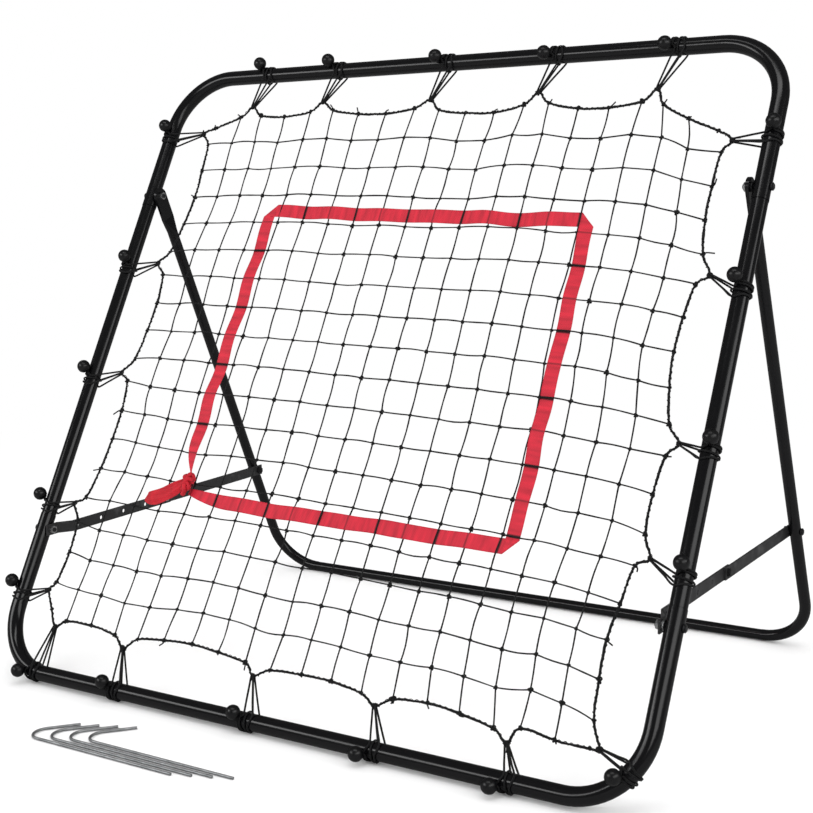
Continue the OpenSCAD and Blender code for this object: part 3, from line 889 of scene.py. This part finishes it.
def wind_on(wrap, number):
    """From under the ball round to the back of the tube. The far loop makes one turn more
    than the near one."""
    edge = wrap.hand * WRAP_EDGE
    start = wrap.ball_angle + 0.2
    end = math.radians(190 + 360 * number)
    first = wrap.ball_shift - wrap.hand * (3.5 + 3 * number) * MM
    path = [wrap.at(wrap.ball_angle, wrap.ball_shift - edge, 0.4 * MM)]
    for angle in np.arange(start, end, CORD_STEP):
        share = (angle - start) / (end - start)
        path.append(wrap.at(angle, first + (edge - first) * share))
    path.append(wrap.at(end, edge))
    path.append(wrap.at(end + 0.45, 0, 0.5 * MM))
    return path


def round_net_edge(wrap, net, number):
    """The three points of the cord's bend round the net's edge, back to front."""
    aside = wrap.along * wrap.hand * (1 - 2 * number) * MM
    depth = 1.9 * MM * wrap.front
    inward = unit(net - wrap.tube)
    return [net - depth + aside, net + inward * 2.6 * MM + aside, net + depth + 1.4 * aside]


def wind_off(wrap, number):
    """Over the front of the tube. The near loop ends under the ball, the far one is
    tucked in round the tube."""
    finish = wrap.ball_angle + 0.3 if number == 0 else math.radians(150)
    goal = wrap.ball_shift if number == 0 else wrap.hand * 3 * MM
    path = []
    for share in (0.35, 0.7, 1.0):
        angle = IN_OVER_TUBE + (finish - IN_OVER_TUBE) * share
        shift = goal * share ** 2 - wrap.hand * (1 - share) * MM
        path.append(wrap.at(angle, shift, 0.3 * MM))
    return path


def part_way(start, end, shares):
    return [start + (end - start) * share for share in shares]


def add_loop(shape, hook, number):
    """One loop of a bungee: from under the ball it is wound round the tube, goes in behind
    the tube to the net, and comes back over the front of the tube."""
    wrap = Wrap(hook, number)
    path = wind_on(wrap, number)
    bend = round_net_edge(wrap, hook["net"], number)
    path += part_way(path[-1], bend[0], (0.35, 0.7))
    path += bend
    over = wrap.at(IN_OVER_TUBE, -wrap.hand * (1 + 2.2 * number) * MM, 0.5 * MM)
    path += part_way(path[-1], over, (0.3, 0.65))
    path.append(over)
    path += wind_off(wrap, number)
    shape.tube(to_world(smooth_path(path, 4)), CORD_RADIUS, 8)


def add_ball(shape, hook):
    """A moulded ball with a short neck where the cord comes out."""
    tube = np.array([*on_frame_axis(hook["ball"]), 0])
    axis = unit(hook["ball"] - tube)
    side = unit(np.cross(axis, (0.3, 0.2, 0.9)))
    other = np.cross(axis, side)
    # radius and height, from the neck up over the seam to the top
    profile = [(3.2 * MM, -BALL_RADIUS - 0.1 * MM), (3.9 * MM, -BALL_RADIUS * 0.96)]
    for angle in np.linspace(-64, 84, 16):
        bulge = 1 + (BALL_SEAM if abs(angle - 6) < 6 else 0)
        profile.append((BALL_RADIUS * math.cos(math.radians(angle)) * bulge,
                        BALL_RADIUS * math.sin(math.radians(angle))))
    profile.append((0.25 * MM, BALL_RADIUS * 0.995))
    turn = np.linspace(0, 2 * math.pi, 28, endpoint=False)
    circle = np.cos(turn)[:, None] * side + np.sin(turn)[:, None] * other
    rings = np.array([hook["ball"] + axis * height + radius * circle
                      for radius, height in profile])
    world = to_world(rings).reshape(rings.shape)
    shape.grid(world, closed_across=True, caps=True)


def make_bungees(hooks, elastic, plastic):
    """Cords and balls, one piece for each side of the frame as in the CAD."""
    for side in SIDES:
        owned = [h for h in hooks if h["side"] == side]
        cords = Shape()
        balls = Shape()
        for hook in owned:
            add_loop(cords, hook, 0)
            add_loop(cords, hook, 1)
            add_ball(balls, hook)
        cord_piece = cords.make("bungee_cords_" + side, elastic, "front_frame")
        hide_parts("cords_" + side)
        ball_piece = balls.make("bungee_balls_" + side, plastic, "front_frame")
        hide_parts("balls_" + side)


# ---------- paint, floor, lights and camera ----------


def paint_cad():
    """Gives each CAD piece that stays visible the look of its material slot."""
    finishes = {
        "frame_paint": powder_coat(),
        "brace_paint": bar_paint(),
        "zinc": zinc_plate(),
        "black_hardware": black_hardware(),
        "peg_wire": galvanised_wire(),
    }
    finishes["support_paint"] = finishes["frame_paint"]
    for entry in frame["record"]["subparts"]:
        finish = finishes.get(entry["material_slot"])
        if finish:
            mesh = frame["nodes"][entry["node"]].data
            mesh.materials.clear()
            mesh.materials.append(finish)


def add_marker(name, place, body):
    """An empty that moves with a body."""
    marker = bpy.data.objects.new(name, None)
    marker.location = place
    bpy.context.scene.collection.objects.link(marker)
    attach(marker, body)
    return marker


def keep_level_with_lowest(obj, markers):
    """obj stays at the height of the lowest marker, at every pose."""
    driver = obj.driver_add("location", 2).driver
    driver.type = "MIN"
    for number, marker in enumerate(markers):
        variable = driver.variables.new()
        variable.name = "height_%d" % number
        variable.type = "TRANSFORMS"
        target = variable.targets[0]
        target.id = marker
        target.transform_type = "LOC_Z"
        target.transform_space = "WORLD_SPACE"


def add_floor():
    """The floor drops when the support folds, as its feet swing down past the frame's."""
    half = FLOOR_HALF
    corners = [(-half, -half, 0), (half, -half, 0), (half, half, 0), (-half, half, 0)]
    mesh = bpy.data.meshes.new("floor")
    mesh.from_pydata(corners, [], [(0, 1, 2, 3)])
    mesh.materials.append(floor_paper())
    floor = bpy.data.objects.new("floor", mesh)
    bpy.context.scene.collection.objects.link(floor)
    bar = node_points("rear_bar")
    bar_middle = (bar.min(0) + bar.max(0)) / 2
    bar_radius = np.ptp(bar[:, 2]) / 2
    feet = [add_marker("rear_foot", bar_middle, "rear_support"),
            add_marker("front_foot", (0, 0, bar_radius), "front_frame")]
    keep_level_with_lowest(floor, feet)
    floor.delta_location.z = -bar_radius - FLOOR_GAP


def direction(azimuth, elevation):
    """A direction by its azimuth, 0 towards the player, and elevation in degrees."""
    a = math.radians(azimuth)
    e = math.radians(elevation)
    return Vector((math.sin(a) * math.cos(e), -math.cos(a) * math.cos(e), math.sin(e)))


def add_light(name, azimuth, elevation, distance, size, power):
    light = bpy.data.lights.new(name, "AREA")
    light.shape = "RECTANGLE"
    light.size, light.size_y = size
    light.energy = power
    obj = bpy.data.objects.new(name, light)
    target = Vector(LIGHTS_AIM)
    obj.location = target + distance * direction(azimuth, elevation)
    obj.rotation_mode = "QUATERNION"
    obj.rotation_quaternion = (target - obj.location).to_track_quat("-Z", "Y")
    bpy.context.scene.collection.objects.link(obj)


def add_room():
    """The camera sees a white room, the gloss paint reflects a darker one."""
    world = bpy.data.worlds.new("studio")
    world.use_nodes = True
    tree = world.node_tree
    background = tree.nodes["Background"]
    background.inputs["Color"].default_value = (1, 1, 1, 1)
    ray = tree.nodes.new("ShaderNodeLightPath")
    dim = tree.nodes.new("ShaderNodeMath")
    dim.operation = "MULTIPLY_ADD"
    dim.inputs[1].default_value = -ROOM_DIMMED
    dim.inputs[2].default_value = ROOM_BRIGHT
    tree.links.new(ray.outputs["Is Glossy Ray"], dim.inputs[0])
    show = tree.nodes.new("ShaderNodeMath")
    show.operation = "MULTIPLY_ADD"
    show.inputs[1].default_value = ROOM_SHOWN
    tree.links.new(ray.outputs["Is Camera Ray"], show.inputs[0])
    tree.links.new(dim.outputs["Value"], show.inputs[2])
    tree.links.new(show.outputs["Value"], background.inputs["Strength"])
    bpy.context.scene.world = world


def add_camera():
    data = bpy.data.cameras.new("camera")
    data.sensor_width = 36
    data.lens = CAMERA_LENS
    obj = bpy.data.objects.new("camera", data)
    back = direction(CAMERA_AZIMUTH, CAMERA_ELEVATION)
    obj.location = CAMERA_AT
    obj.rotation_mode = "QUATERNION"
    aim = (-back).to_track_quat("-Z", "Y")
    obj.rotation_quaternion = Quaternion(-back, math.radians(-CAMERA_ROLL)) @ aim
    bpy.context.scene.collection.objects.link(obj)
    bpy.context.scene.camera = obj
    bpy.context.scene.view_settings.view_transform = "Standard"


paint_cad()
hooks = read_hooks()
knots, edge_points, edge_loop = relax_net(hooks)
net_look = twine("net_twine_look", (0.006, 0.006, 0.0065), 5 * MM)
net = make_net(knots, net_look)
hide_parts("net")
edge_look = twine("edge_twine_look", (0.005, 0.005, 0.0055), 4 * MM)
edge = make_edge_cord(edge_points, edge_loop, edge_look)
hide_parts("net_edge_cord")
one_layer = woven_ribbon("woven_ribbon", (0.66, 0.014, 0.038))
# a darker copy of the ribbon for the knot and its tail: painted shade
shaded_ribbon_look = woven_ribbon("woven_ribbon_painted_shade", (0.6, 0.004, 0.018))
ribbon, tied = make_ribbon(knots, one_layer, shaded_ribbon_look)
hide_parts("target_ribbon")
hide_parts("target_knot")
elastic_look = twine("elastic_look", (0.005, 0.005, 0.0055), 3 * MM)
make_bungees(hooks, elastic_look, ball_plastic())
add_floor()
add_room()
for light in LIGHTS:
    add_light(*light)
add_camera()
